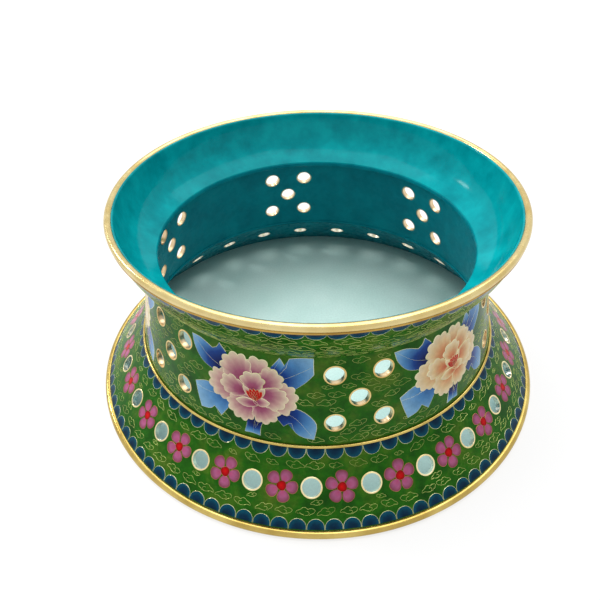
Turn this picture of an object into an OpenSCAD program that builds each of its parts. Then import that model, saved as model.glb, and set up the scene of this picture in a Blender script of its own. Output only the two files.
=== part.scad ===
// Enamelled copper stand for a chimney hot pot: an open, waisted ring on which the pot sits.
// A flared collar, a pierced drum and a pierced skirt are brazed together with gilt rings.
// The outside carries cells of coloured enamel between gilt wires, the inside a plain lining.
// Z is up, the origin is the middle of the foot, and all sizes are in millimetres.

/* [Overall] */
// Radius of the circle along the middle of the rim bead
rim_r = 107.8; // [104:0.2:112]
// Height of the middle of the rim bead above the table
rim_z = 114.5; // [113.5:0.1:116]
// Radius of the drum's outer face where the collar starts
neck_r = 94; // [92.5:0.25:96]
// Height of the joint between the collar and the drum
neck_z = 84.5; // [81:0.5:86]
// Radius of the drum's outer face at the waist wire
waist_r = 103.6; // [101:0.2:105]
// Height of the waist wire, where the drum meets the skirt
waist_z = 34; // [32.5:0.25:35.5]
// Radius of the circle along the middle of the foot bead
foot_r = 131.1; // [129:0.1:135]

/* [Sheet and enamel] */
// Thickness of the copper sheet
copper_t = 1.2; // [0.8:0.1:1.4]
// Thickness of the coloured enamel on the outside
enamel_t = 0.9; // [0.6:0.1:1.1]
// Thickness of the plain enamel lining
lining_t = 0.5; // [0.3:0.1:0.7]

/* [Collar and pot seat] */
// Radius of the collar's rounded curve, seen from the side
collar_curve_r = 75; // [62:1:120]
// Radius of the opening at the inner edge of the seat's shelf
throat_r = 87.7; // [85:0.1:88.5]
// How far that edge lies above the neck
throat_rise = 4.1; // [3.5:0.1:5]
// Slope of the shelf on which the pot sits, in degrees
shelf_slope = 31; // [20:1:36]
// Radius of the bowl's curve above the shelf, seen from the side
seat_curve_r = 56; // [48:1:90]

/* [Gilt rings] */
// Radius of the rim bead's round section
rim_bead_r = 2; // [1.8:0.05:2.3]
// Radius of the thin wire under the rim bead
rim_wire_r = 0.55; // [0.4:0.05:0.7]
// Radius of the waist wire's section
waist_wire_r = 0.9; // [0.7:0.05:1.1]
// Radius of the foot bead's round section
foot_bead_r = 2.2; // [2:0.05:2.5]
// Width of the flange inside the foot bead, which carries the floor plate
foot_flange_w = 5; // [4:0.25:7]

/* [Floor plate] */
// Thickness of the floor plate
plate_t = 0.8; // [0.5:0.1:1]
// Height of the plate's seat on the foot flange
plate_z = 1.5; // [1:0.1:1.7]
// Gap between the plate's edge and the foot bead
plate_gap = 0.3; // [0.1:0.05:0.5]

/* [Air holes] */
// Radius of every air hole through the copper
hole_r = 4.6; // [3.5:0.1:5]
// Width of the gilt wire round each hole
hole_wire_w = 0.7; // [0.4:0.1:1]
// How far the lining stands back from each hole
lining_back = 0.3; // [0.1:0.1:0.6]
// Number of groups of five holes round the drum
drum_groups = 6; // [4:1:6]
// Azimuth of the first group, from the front towards the right
drum_first_az = 12; // [0:1:59]
// Height of the middle hole of each group
drum_holes_z = 61.3; // [58:0.1:63]
// Half the height between a group's upper and lower holes
drum_hole_rise = 13.4; // [12:0.2:14]
// Half the width between a group's left and right holes, along the drum
drum_hole_step = 11.7; // [10:0.1:13]
// Number of holes round the skirt
skirt_holes = 25; // [20:1:25]
// Azimuth of the first hole in the skirt
skirt_first_az = -1; // [-7:1:7]
// Height of the skirt's row of holes and flowers
skirt_row_z = 19.3; // [18.5:0.1:20]

/* [Scallops] */
// Number of scallops under the rim
rim_scallops_n = 78; // [60:1:84]
// Number of scallops under the waist wire
waist_scallops_n = 72; // [60:1:76]
// Number of scallops above the foot ring
foot_scallops_n = 92; // [72:1:96]
// Gap between neighbouring scallops
scallop_gap = 0.4; // [0.2:0.1:0.8]
// How far a scallop's centre lies from its straight edge
scallop_drop = 1.1; // [0.8:0.1:1.6]

/* [Small blossoms] */
// Radius of one petal of the small blossoms on the skirt
petal_r = 2.9; // [2.2:0.1:3]
// Distance from a blossom's centre to the middle of a petal
petal_reach = 5.4; // [5.3:0.1:5.6]
// Radius of a blossom's red middle
eye_r = 2.2; // [1.6:0.1:2.3]
// How much each blossom is turned from the one before it
blossom_turn = 20; // [0:1:71]

/* [Peonies] */
// Height of a peony's middle on the drum
peony_z = 62; // [58:0.5:63]
// Radius of a peony
peony_r = 20; // [17:0.5:21]
// Radius of the round end of an outer petal
outer_petal_r = 7; // [6:0.25:8]
// Radius inside which the inner petals lie
inner_ring_r = 10; // [9:0.25:11]
// Radius of a peony's heart
heart_r = 3.2; // [2:0.1:4]
// Length of a leaf, part of it hidden by the petals
leaf_l = 20; // [15:0.5:24]
// Width of a leaf
leaf_w = 10; // [6:0.5:12]
// Distance from a peony's middle to the tip of a leaf
leaf_tip = 29; // [26:0.5:31]
// Gap between neighbouring enamel cells of a peony
cell_gap = 0.5; // [0.3:0.1:0.8]

/* [Hidden] */
$fn = 96;

petals_n = 5;
outer_petals_n = 8;
leaf_turns = [50, 130, 230, 310];  // directions of the leaves, from straight down
wire_proud = 0.15;     // the polished wires stand this far above the enamel
under_bead = -60;      // direction from the bead's middle to the collar's edge and the wire over it
bend_clear = 0.2;      // extra enamel in the corner where the shelf meets the collar
cell_depth = 0.55;     // depth of the flat-floored cells in the ground coat
inlay_proud = 0.05;    // the inlays stand this far above the coat round them
cell_share = 0.62;     // no cell is deeper than this share of the ground coat
tool_l = 12;           // length of a cutting tool through the wall
tool_in = 6;           // how far a cutting tool starts inside the outer face
far = 400;             // larger than the stand, for trimming shapes

gold = "#d9b45a";
copper = "#b5653a";
green = "#3c7a2c";
teal = "#0f8a8c";
blue = "#0c3f5c";
pink = "#b85a80";
mauve = "#c58fa6";
peach = "#e0b090";
leaf_blue = "#3a6fa8";
red = "#b01414";
steel = "#a9b8b4";

// ---- Side profile: points are [radius, height] ----
foot_z = foot_bead_r;                                        // the bead rests on the table
skirt_low_z = foot_z + foot_bead_r * 0.9;                    // where its outer face meets the bead
skirt_low_r = foot_r - foot_bead_r * 0.3;
skirt_end_z = foot_z + foot_bead_r * 0.2;                    // the sheet ends against the bead
skirt_slope = (skirt_low_r - waist_r) / (waist_z - skirt_low_z);
drum_slope = (waist_r - neck_r) / (neck_z - waist_z);
skirt_lean = atan(skirt_slope);
drum_lean = atan(drum_slope);

function skirt_at(z) = waist_r + (waist_z - z) * skirt_slope;
function drum_at(z) = neck_r + (neck_z - z) * drum_slope;
function point_on(c, r, a) = [c[0] + r * cos(a), c[1] + r * sin(a)];

// Centre of the circle of radius r through p and q; side 1 puts it left of the way from p to q
function arc_centre(p, q, r, side) =
    let (d = q - p, h = sqrt(r * r - d * d / 4)) (p + q) / 2 + side * h * [-d[1], d[0]] / norm(d);
// How far a point at v from a circle's centre can go in direction way before it meets that circle
function reach_to(v, way, r) = sqrt(pow(v * way, 2) - v * v + r * r) - v * way;
function angle_from(c, p) = atan2(p[1] - c[1], p[0] - c[0]);
function arc_turn(s, r) = s / r * 180 / PI;

collar_low = [neck_r, neck_z];
collar_top = point_on([rim_r, rim_z], rim_bead_r, under_bead);   // the collar ends on the bead
collar_c = arc_centre(collar_low, collar_top, collar_curve_r, 1);

// The seat's shelf rises from its inner edge to a bend beside the collar, and from there the bowl's
// curve rises to a lip that covers the inner side of the bead
shelf_edge = [throat_r, neck_z + throat_rise];
shelf_way = [cos(shelf_slope), sin(shelf_slope)];
shelf_up = [-shelf_way[1], shelf_way[0]];
bend_r = collar_curve_r - enamel_t - copper_t - lining_t - bend_clear;
seat_bend = shelf_edge + shelf_way * reach_to(shelf_edge - collar_c, shelf_way, bend_r);
seat_lip = [rim_r - rim_bead_r * 1.3, rim_z + rim_bead_r * 0.4];
seat_c = arc_centre(seat_bend, seat_lip, seat_curve_r, 1);

// The sector seen from c between the directions of p and q
module sector(c, p, q) {
    polygon([c, c + far * (p - c) / norm(p - c), c + far * (q - c) / norm(q - c)]);
}

// A band of the collar, from depth a to depth b behind its outer face
module collar_band(a, b) {
    difference() {
        intersection() {
            translate(collar_c) difference() {
                circle(collar_curve_r - a);
                circle(collar_curve_r - b);
            }
            sector(collar_c, [collar_c[0], 0], collar_top);
            translate([0, neck_z]) square(far);
        }
        rim_bead_section();
    }
}

// Everything above the shelf's face, moved down by depth
module above_shelf(depth) {
    p = shelf_edge - shelf_up * depth;
    polygon([p - shelf_way * far, p + shelf_way * far, p + (shelf_way + shelf_up) * far,
             p + (shelf_up - shelf_way) * far]);
}

// The space inside the collar's copper, outwards from the shelf's inner edge
module behind_throat() {
    intersection() {
        translate(collar_c) circle(collar_curve_r - enamel_t - copper_t);
        translate([throat_r, 0]) square(far);
    }
}

// A layer of the shelf, from depth a to depth b behind its face, that ends against the collar
module shelf_band(a, b) {
    difference() {
        intersection() {
            behind_throat();
            above_shelf(b);
        }
        above_shelf(a);
    }
}

// The enamel that lines the shelf, the collar's inside and the bead's inner side
module seat_lining() {
    difference() {
        intersection() {
            behind_throat();
            above_shelf(lining_t);
            square([far, seat_lip[1]]);
        }
        intersection() {
            translate(seat_c) circle(seat_curve_r);
            above_shelf(0);
        }
        rim_bead_section();
    }
}

// A band of the drum, from depth a to depth b behind its outer face
module drum_band(a, b) {
    k = 1 / cos(drum_lean);
    polygon([[drum_at(neck_z) - a * k, neck_z], [drum_at(waist_z) - a * k, waist_z],
             [drum_at(waist_z) - b * k, waist_z], [drum_at(neck_z) - b * k, neck_z]]);
}

// A band of the skirt, from depth a to depth b behind its outer face
module skirt_band(a, b) {
    k = 1 / cos(skirt_lean);
    difference() {
        polygon([[skirt_at(waist_z) - a * k, waist_z], [skirt_at(skirt_end_z) - a * k, skirt_end_z],
                 [skirt_at(skirt_end_z) - b * k, skirt_end_z], [skirt_at(waist_z) - b * k, waist_z]]);
        foot_bead_section();
    }
}

module rim_bead_section() { translate([rim_r, rim_z]) circle(rim_bead_r); }
module rim_wire_section() {
    translate(point_on([rim_r, rim_z], rim_bead_r + rim_wire_r * 0.45, under_bead)) circle(rim_wire_r);
}
module waist_wire_section() { translate([waist_r + waist_wire_r * 0.5, waist_z]) circle(waist_wire_r); }
module foot_bead_section() { translate([foot_r, foot_z]) circle(foot_bead_r); }
module spun() { rotate_extrude($fn = 180) children(); }

// ---- Tools that stand square on the wall ----
// Puts its children on the drum at azimuth az from the front and height z, square to the wall
module on_drum(az, z) {
    rotate([0, 0, az - 90]) translate([drum_at(z), 0, z]) rotate([0, 90 - drum_lean, 0]) children();
}
module on_skirt(az, z) {
    rotate([0, 0, az - 90]) translate([skirt_at(z), 0, z]) rotate([0, 90 - skirt_lean, 0]) children();
}
// At distance s down the collar's curve from its top edge
module on_collar(az, s) {
    a = angle_from(collar_c, collar_top) - arc_turn(s, collar_curve_r);
    p = point_on(collar_c, collar_curve_r, a);
    rotate([0, 0, az - 90]) translate([p[0], 0, p[1]]) rotate([0, 90 - a, 0]) children();
}
module peg(r) { translate([0, 0, -tool_in]) cylinder(r = r, h = tool_l); }

// A flat-floored cell of the given outline, and the flat inlay of enamel that fills it
depth = min(cell_depth, enamel_t * cell_share);
module cell() { translate([0, 0, -depth]) linear_extrude(tool_l) children(); }
module inlay() { translate([0, 0, -depth]) linear_extrude(depth + inlay_proud) children(); }
// A plain ring of wire, standing on the copper
module ring_wire() {
    translate([0, 0, -enamel_t]) difference() {
        cylinder(r = hole_r + hole_wire_w, h = enamel_t + wire_proud);
        translate([0, 0, -enamel_t]) cylinder(r = hole_r, h = tool_l);
    }
}

// The five holes of each drum group
module at_drum_holes() {
    for (g = [0 : drum_groups - 1])
        for (h = [[-1, 1], [1, 1], [0, 0], [-1, -1], [1, -1]])
            on_drum(drum_first_az + g * 360 / drum_groups + arc_turn(h[0] * drum_hole_step, drum_at(drum_holes_z)),
                    drum_holes_z + h[1] * drum_hole_rise) children();
}
module at_skirt_holes() {
    for (k = [0 : skirt_holes - 1])
        on_skirt(skirt_first_az + k * 360 / skirt_holes, skirt_row_z) children();
}

// Blossoms halfway between the holes of the skirt
module at_eyes() {
    for (k = [0 : skirt_holes - 1])
        on_skirt(skirt_first_az + (k + 0.5) * 360 / skirt_holes, skirt_row_z)
            rotate([0, 0, k * blossom_turn]) children();
}
module at_petals() {
    at_eyes() for (p = [0 : petals_n - 1]) rotate([0, 0, p * 360 / petals_n])
        translate([petal_reach, 0, 0]) children();
}

// A scallop has a straight edge on the ring that borders it, and a round end at side 1 or -1
function scallop_r(r, n) = (2 * PI * r / n - scallop_gap) / 2;
module scallop(r, side) {
    intersection() {
        translate([side * scallop_drop, 0]) circle(r);
        translate([side > 0 ? 0 : -far, -far / 2]) square(far);
    }
}
rim_scallop_s = rim_wire_r * 2 + scallop_gap;
waist_scallop_z = waist_z - (waist_wire_r + scallop_gap) * cos(skirt_lean);
foot_scallop_z = skirt_low_z + scallop_gap * cos(skirt_lean);
module at_rim_scallops() {
    for (k = [0 : rim_scallops_n - 1]) on_collar(k * 360 / rim_scallops_n, rim_scallop_s) children();
}
module at_waist_scallops() {
    for (k = [0 : waist_scallops_n - 1]) on_skirt(k * 360 / waist_scallops_n, waist_scallop_z) children();
}
module at_foot_scallops() {
    for (k = [0 : foot_scallops_n - 1]) on_skirt(k * 360 / foot_scallops_n, foot_scallop_z) children();
}
module rim_scallop() { scallop(scallop_r(collar_top[0] - rim_scallop_s, rim_scallops_n), 1); }
module waist_scallop() { scallop(scallop_r(skirt_at(waist_scallop_z), waist_scallops_n), 1); }
module foot_scallop() { scallop(scallop_r(skirt_at(foot_scallop_z), foot_scallops_n), -1); }

// ---- Peonies, one between each two groups of holes; every cell lies flat at its own place ----
// Puts its children at distance s from the middle of peony g, in the direction of turn, where
// a turn of 0 is straight down and the children's X points away from the flower's middle
module on_peony(g, turn, s) {
    on_drum(drum_first_az + (g + 0.5) * 360 / drum_groups + arc_turn(s * sin(turn), drum_at(peony_z)),
            peony_z - s * cos(turn) * cos(drum_lean)) rotate([0, 0, turn]) children();
}
outer_reach = peony_r - outer_petal_r;
inner_petals_n = 5;
inner_reach = (inner_ring_r + heart_r) / 2;

// The part of a ring of n petals, from radius a to radius b, that one petal may fill
module petal_place(n, a, b) {
    difference() {
        intersection() {
            circle(b);
            rotate([0, 0, -180 / n]) wedge_of(360 / n);
        }
        circle(a);
        for (side = [-1, 1]) rotate([0, 0, side * 180 / n])
            translate([0, -cell_gap / 2]) square([far, cell_gap]);
    }
}
module wedge_of(a) { polygon([[0, 0], [far, 0], [far * cos(a), far * sin(a)]]); }
module outer_petal() {
    translate([-outer_reach, 0]) intersection() {
        petal_place(outer_petals_n, inner_ring_r, peony_r + cell_gap);
        translate([outer_reach, 0]) circle(outer_petal_r);
    }
}
module inner_petal() {
    translate([-inner_reach, 0]) petal_place(inner_petals_n, heart_r + cell_gap, inner_ring_r - cell_gap);
}
// A leaf is the lens between two arcs, less what the petals hide
leaf_curve_r = (leaf_l * leaf_l / leaf_w + leaf_w) / 4;
leaf_reach = leaf_tip - leaf_l / 2;
module leaf() {
    difference() {
        intersection_for (side = [-1, 1])
            translate([0, side * (leaf_curve_r - leaf_w / 2)]) circle(leaf_curve_r);
        translate([-leaf_reach, 0]) circle(peony_r + cell_gap);
    }
}
module at_outer_petals(first, step) {
    for (g = [first : step : drum_groups - 1])
        for (p = [0 : outer_petals_n - 1]) on_peony(g, p * 360 / outer_petals_n, outer_reach) children();
}
module at_inner_petals(first, step) {
    for (g = [first : step : drum_groups - 1])
        for (p = [0 : inner_petals_n - 1]) on_peony(g, p * 360 / inner_petals_n, inner_reach) children();
}
module at_hearts() { for (g = [0 : drum_groups - 1]) on_peony(g, 0, 0) children(); }
module at_leaves() {
    for (g = [0 : drum_groups - 1]) for (turn = leaf_turns) on_peony(g, turn, leaf_reach) children();
}
module petals_from(first) {
    at_outer_petals(first, 2) inlay() outer_petal();
    at_inner_petals(first, 2) inlay() inner_petal();
}

// ---- Gilt rings ----
module rim_ring() {
    color(gold) spun() rim_bead_section();
}
module rim_wire() {
    color(gold) spun() difference() {
        rim_wire_section();
        rim_bead_section();
    }
}
module waist_wire() { color(gold) spun() waist_wire_section(); }
module foot_ring() {
    color(gold) spun() difference() {
        union() {
            foot_bead_section();
            translate([foot_r - foot_flange_w, 0]) square([foot_flange_w, plate_z]);
        }
        translate([0, plate_z]) square([foot_r - foot_bead_r * 0.75, plate_t + plate_gap]);
    }
}

// ---- Collar ----
module collar_copper() { color(copper) spun() collar_band(enamel_t, enamel_t + copper_t); }
module collar_enamel() {
    color(green) difference() {
        spun() difference() {
            collar_band(0, enamel_t);
            rim_wire_section();
        }
        at_rim_scallops() cell() rim_scallop();
    }
}
module rim_scallops() { color(blue) at_rim_scallops() inlay() rim_scallop(); }

// ---- Pot seat ----
module seat_copper() { color(copper) spun() shelf_band(lining_t, lining_t + copper_t); }
module seat_enamel() { color(teal) spun() seat_lining(); }
module seat_back_enamel() { color(teal) spun() shelf_band(lining_t + copper_t, 2 * lining_t + copper_t); }

// ---- Drum ----
module drum_copper() {
    color(copper) difference() {
        spun() drum_band(enamel_t, enamel_t + copper_t);
        at_drum_holes() peg(hole_r);
    }
}
module drum_enamel() {
    color(green) difference() {
        spun() difference() {
            drum_band(0, enamel_t);
            waist_wire_section();
        }
        at_drum_holes() peg(hole_r + hole_wire_w);
        at_outer_petals(0, 1) cell() outer_petal();
        at_inner_petals(0, 1) cell() inner_petal();
        at_hearts() cell() circle(heart_r);
        at_leaves() cell() leaf();
    }
}
module drum_lining() {
    color(teal) difference() {
        spun() drum_band(enamel_t + copper_t, enamel_t + copper_t + lining_t);
        at_drum_holes() peg(hole_r + lining_back);
    }
}
module drum_hole_wires() { color(gold) at_drum_holes() ring_wire(); }
module mauve_petals() { color(mauve) petals_from(1); }
module peach_petals() { color(peach) petals_from(0); }
module peony_hearts() { color(red) at_hearts() inlay() circle(heart_r); }
module peony_leaves() { color(leaf_blue) at_leaves() inlay() leaf(); }

// ---- Skirt ----
module skirt_copper() {
    color(copper) difference() {
        spun() skirt_band(enamel_t, enamel_t + copper_t);
        at_skirt_holes() peg(hole_r);
    }
}
module skirt_enamel() {
    color(green) difference() {
        spun() difference() {
            skirt_band(0, enamel_t);
            waist_wire_section();
        }
        at_skirt_holes() peg(hole_r + hole_wire_w);
        at_waist_scallops() cell() waist_scallop();
        at_foot_scallops() cell() foot_scallop();
        at_petals() cell() circle(petal_r);
        at_eyes() cell() circle(eye_r);
    }
}
module skirt_lining() {
    color(teal) difference() {
        spun() skirt_band(enamel_t + copper_t, enamel_t + copper_t + lining_t);
        at_skirt_holes() peg(hole_r + lining_back);
    }
}
module skirt_hole_wires() { color(gold) at_skirt_holes() ring_wire(); }
module waist_scallops() { color(blue) at_waist_scallops() inlay() waist_scallop(); }
module foot_scallops() { color(blue) at_foot_scallops() inlay() foot_scallop(); }
module blossom_petals() { color(pink) at_petals() inlay() circle(petal_r); }
module blossom_eyes() { color(red) at_eyes() inlay() circle(eye_r); }

// ---- Floor plate ----
module floor_plate() {
    color(steel) translate([0, 0, plate_z]) cylinder(r = foot_r - foot_bead_r * 0.75 - plate_gap, h = plate_t, $fn = 180);
}

rim_ring();
rim_wire();
collar_copper();
collar_enamel();
rim_scallops();
seat_copper();
seat_enamel();
seat_back_enamel();
drum_copper();
drum_enamel();
drum_lining();
drum_hole_wires();
mauve_petals();
peach_petals();
peony_hearts();
peony_leaves();
waist_wire();
skirt_copper();
skirt_enamel();
skirt_lining();
skirt_hole_wires();
waist_scallops();
foot_scallops();
blossom_petals();
blossom_eyes();
foot_ring();
floor_plate();
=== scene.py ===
import bmesh
import bpy
import math
import random
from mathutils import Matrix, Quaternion, Vector


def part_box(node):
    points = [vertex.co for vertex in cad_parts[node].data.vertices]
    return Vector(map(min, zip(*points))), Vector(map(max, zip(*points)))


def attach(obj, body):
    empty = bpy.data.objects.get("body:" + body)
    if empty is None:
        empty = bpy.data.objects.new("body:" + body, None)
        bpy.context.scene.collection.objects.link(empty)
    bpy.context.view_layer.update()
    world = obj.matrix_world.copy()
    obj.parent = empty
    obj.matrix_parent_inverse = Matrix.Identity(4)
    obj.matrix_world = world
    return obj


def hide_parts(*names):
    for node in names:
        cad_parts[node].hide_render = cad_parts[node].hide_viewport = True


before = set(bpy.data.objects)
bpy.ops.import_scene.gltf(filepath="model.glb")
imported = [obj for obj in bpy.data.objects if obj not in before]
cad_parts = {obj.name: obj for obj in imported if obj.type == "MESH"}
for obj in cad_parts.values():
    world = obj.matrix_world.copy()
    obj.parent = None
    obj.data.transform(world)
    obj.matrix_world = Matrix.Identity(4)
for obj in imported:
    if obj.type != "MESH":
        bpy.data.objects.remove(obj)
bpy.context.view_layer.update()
scene = bpy.context.scene

# ---- Camera ----
# The photograph was taken from arm's length, looking down into the stand at about 39 degrees, and
# the camera was tilted a little to one side.
cam_place = Vector((0.0, -0.2779, 0.2686))
cam_target = Vector((-0.0086, -0.0325, 0.0669))
cam_roll = math.radians(-1.23)
camera = bpy.data.objects.new("camera", bpy.data.cameras.new("camera"))
camera.data.lens = 35.28
camera.data.sensor_width = 36.0
camera.location = cam_place
camera.rotation_mode = "QUATERNION"
look = (cam_target - cam_place).to_track_quat("-Z", "Y")
camera.rotation_quaternion = look @ Quaternion((0, 0, 1), cam_roll)
scene.collection.objects.link(camera)
scene.camera = camera

# ---- Copper sheets ----
# Collar, pot seat, drum and skirt are copper sheet, spun to shape and brazed together before they are
# enamelled. The copper shows only at the holes' edges and in the hollow between seat and collar.
MM = 0.001


def srgb(r, g, b):
    """A colour written as it looks on a screen, from 0 to 255, as the linear values of a shader."""
    return tuple((c / 255 / 12.92) if c <= 10 else ((c / 255 + 0.055) / 1.055) ** 2.4 for c in (r, g, b))


def finish(name, metallic=0.0, specular=0.5):
    mat = bpy.data.materials.new(name)
    mat.use_nodes = True
    shader = mat.node_tree.nodes["Principled BSDF"]
    shader.inputs["Metallic"].default_value = metallic
    shader.inputs["Specular IOR Level"].default_value = specular
    return mat, shader


def add_node(mat, kind, **settings):
    node = mat.node_tree.nodes.new(kind)
    for key, value in settings.items():
        setattr(node, key, value)
    return node


def noise(mat, scale, detail, roughness=0.55, stretch=None):
    """A noise value from the object's coordinates; scale is in features per metre."""
    coords = add_node(mat, "ShaderNodeTexCoord").outputs["Object"]
    if stretch:
        mapping = add_node(mat, "ShaderNodeMapping")
        mapping.inputs["Scale"].default_value = stretch
        mat.node_tree.links.new(coords, mapping.inputs["Vector"])
        coords = mapping.outputs["Vector"]
    texture = add_node(mat, "ShaderNodeTexNoise")
    texture.inputs["Scale"].default_value = scale
    texture.inputs["Detail"].default_value = detail
    texture.inputs["Roughness"].default_value = roughness
    mat.node_tree.links.new(coords, texture.inputs["Vector"])
    return texture.outputs["Fac"]


def ramp(mat, value, stops):
    """Colour for a value; stops are (position, (r, g, b)), or (position, grey)."""
    node = add_node(mat, "ShaderNodeValToRGB")
    while len(node.color_ramp.elements) < len(stops):
        node.color_ramp.elements.new(1.0)
    for element, (position, colour) in zip(node.color_ramp.elements, stops):
        element.position = position
        colour = colour if isinstance(colour, tuple) else (colour,) * 3
        element.color = (*colour, 1.0)
    mat.node_tree.links.new(value, node.inputs["Fac"])
    return node.outputs["Color"]


def link_to(mat, value, shader, socket):
    mat.node_tree.links.new(value, shader.inputs[socket])


def relief(mat, shader, height, depth, strength=1.0):
    """Bumps the surface by up to depth metres."""
    node = add_node(mat, "ShaderNodeBump")
    node.inputs["Distance"].default_value = depth
    node.inputs["Strength"].default_value = strength
    mat.node_tree.links.new(height, node.inputs["Height"])
    link_to(mat, node.outputs["Normal"], shader, "Normal")


def patchy(mat, light, dark):
    """The colour of worn metal, which dulls in patches."""
    return ramp(mat, noise(mat, scale=60, detail=4), [(0.35, dark), (0.65, light)])


def polish(mat, shader, colour, rough):
    """Gives metal its colour, a gloss that varies, and fine polishing marks."""
    link_to(mat, colour, shader, "Base Color")
    gloss = ramp(mat, noise(mat, scale=180, detail=3), [(0.3, rough * 0.7), (0.7, rough * 1.4)])
    link_to(mat, gloss, shader, "Roughness")
    relief(mat, shader, noise(mat, scale=700, detail=2), 0.012 * MM)


def metal(name, light, dark, rough):
    """Bare or gilt metal, dulled in patches, with fine polishing marks."""
    mat, shader = finish(name, metallic=1.0)
    polish(mat, shader, patchy(mat, light, dark), rough)
    return mat


def keep(node, mat):
    """Gives its finish to a CAD node that is shown as it is."""
    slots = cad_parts[node].data.materials
    slots.clear()
    slots.append(mat)


copper = metal("copper_bare", srgb(206, 132, 96), srgb(140, 80, 54), 0.4)
for sheet in ("collar_copper", "seat_copper", "drum_copper", "skirt_copper"):
    keep(sheet, copper)


# ---- Rim bead ----
# A round brass wire, polished and gilt, is soldered along the edge where collar and pot seat meet. A
# thin drawn wire under it covers the collar's edge; its gilt is painted darker and browner as painted shade
# under the bead.
def cross_section(node):
    """Radius and height of the middle of a ring of round section, and the section's own radius."""
    low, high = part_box(node)
    r = (high.z - low.z) / 2
    return high.x - r, high.z - r, r


rim_r, rim_z, rim_bead_r = cross_section("rim_ring")
underwire_angle, underwire_r = math.radians(-60), 0.55 * MM


def on_bead(angle, out=0.0):
    """Point of the rim bead's section, or this far outside it, at an angle in radians."""
    return Vector((rim_r, rim_z)) + (rim_bead_r + out) * Vector((math.cos(angle), math.sin(angle)))


def piece(name, bm, mat, stands_for=()):
    """Makes a mesh a finished piece of the stand, shown in place of the CAD nodes it stands for."""
    crease = math.radians(35)
    bmesh.ops.recalc_face_normals(bm, faces=bm.faces)
    for face in bm.faces:
        face.smooth = True
    for edge in bm.edges:
        edge.smooth = edge.calc_face_angle(0.0) < crease
    mesh = bpy.data.meshes.new(name)
    bm.to_mesh(mesh)
    bm.free()
    mesh.materials.append(mat)
    obj = bpy.data.objects.new(name, mesh)
    scene.collection.objects.link(obj)
    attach(obj, "root")
    if stands_for:
        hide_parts(*stands_for)


def spun(outline, steps=288, closed=True):
    """Turns an outline of (radius, height) points once round the stand's axis."""
    bm = bmesh.new()
    verts = [bm.verts.new((r, 0, z)) for r, z in outline]
    following = verts[1:] + verts[:1] if closed else verts[1:]
    edges = [bm.edges.new(pair) for pair in zip(verts, following)]
    bmesh.ops.spin(bm, geom=verts + edges, axis=(0, 0, 1), angle=math.tau, steps=steps, use_merge=True)
    return bm


def round_section(r, z, radius, points):
    """The outline of a round wire."""
    angles = [math.tau * k / points for k in range(points)]
    return [(r + radius * math.cos(a), z + radius * math.sin(a)) for a in angles]


gold = metal("gilt_polished", srgb(220, 202, 146), srgb(204, 179, 114), 0.24)
piece("rim_bead", spun(round_section(rim_r, rim_z, rim_bead_r, 32)), gold, ["rim_ring"])

# Painted shade: the underwire's gilt is darker and browner than the bead's, for the shade under the bead.
underwire_painted_shade_gilt = metal("gilt_painted_shade", srgb(196, 160, 84), srgb(160, 124, 58), 0.36)
wire_r, wire_z = on_bead(underwire_angle, 0.45 * underwire_r)
piece("rim_underwire", spun(round_section(wire_r, wire_z, underwire_r, 16)), underwire_painted_shade_gilt,
      ["rim_wire"])

# ---- Waist band and foot ring ----
# A round gilt wire is soldered over the joint between drum and skirt. The foot ring is a brass bead
# with a flat flange inside it, on which the floor plate lies. Handling has worn the gilding of both.
brass = metal("gilt_worn", srgb(208, 184, 108), srgb(178, 152, 80), 0.2)
waist_ring_r, waist_z, waist_wire_r = cross_section("waist_wire")
piece("waist_band", spun(round_section(waist_ring_r, waist_z, waist_wire_r, 20)), brass,
      ["waist_wire"])

foot_r, foot_z, foot_bead_r = cross_section("foot_ring")
flange_w, flange_top = 5 * MM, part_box("floor_plate")[0].z
flange_r = foot_r - flange_w
foot_turns = [math.radians(a) for a in range(-90, 181, 10)]
foot_outline = [(foot_r + foot_bead_r * math.cos(a), foot_z + foot_bead_r * math.sin(a)) for a in foot_turns]
foot_outline += [(foot_r - foot_bead_r, flange_top), (flange_r, flange_top), (flange_r, 0.0)]
piece("foot_bead", spun(foot_outline), brass, ["foot_ring"])

# ---- Collar ----
# The collar is copper spun to a rounded flare. A ground coat of green enamel is fired on its outside
# and ground smooth; the firing leaves the colour mottled and the face faintly uneven.
neck_r, neck_z = 94.0 * MM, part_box("drum_enamel")[1].z
collar_curve_r = 75.0 * MM
enamel_t, copper_t, lining_t = 0.9 * MM, 1.2 * MM, 0.5 * MM


class Arc:
    """A rounded wall between two points (radius, height). As for every wall here, spot gives the point
    and the outward normal at distance s down from its top."""

    def __init__(self, top, low, radius):
        top, low = Vector(top), Vector(low)
        chord = top - low
        rise = math.sqrt(radius**2 - chord.length_squared / 4)
        self.centre = (top + low) / 2 + rise * Vector((-chord.y, chord.x)).normalized()
        self.radius = radius
        self.first = math.atan2(top.y - self.centre.y, top.x - self.centre.x)
        last = math.atan2(low.y - self.centre.y, low.x - self.centre.x)
        self.length = radius * (self.first - last)

    def spot(self, s):
        angle = self.first - s / self.radius
        out = Vector((math.cos(angle), math.sin(angle)))
        return self.centre + self.radius * out, out


def coat_section(wall, thick, points=32):
    """The outline of a coat of a wall, from its face inwards."""
    spots = [wall.spot(wall.length * k / points) for k in range(points + 1)]
    return [p for p, out in spots] + [p - out * thick for p, out in reversed(spots)]


def blend(mat, value, a, b, mode="MIX"):
    """Mixes the colours a and b by a value that is an output or a number."""
    node = add_node(mat, "ShaderNodeMix", data_type="RGBA", blend_type=mode)
    if isinstance(value, float):
        node.inputs[0].default_value = value
    else:
        mat.node_tree.links.new(value, node.inputs[0])
    mat.node_tree.links.new(a, node.inputs[6])
    mat.node_tree.links.new(b, node.inputs[7])
    return node.outputs[2]


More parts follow.
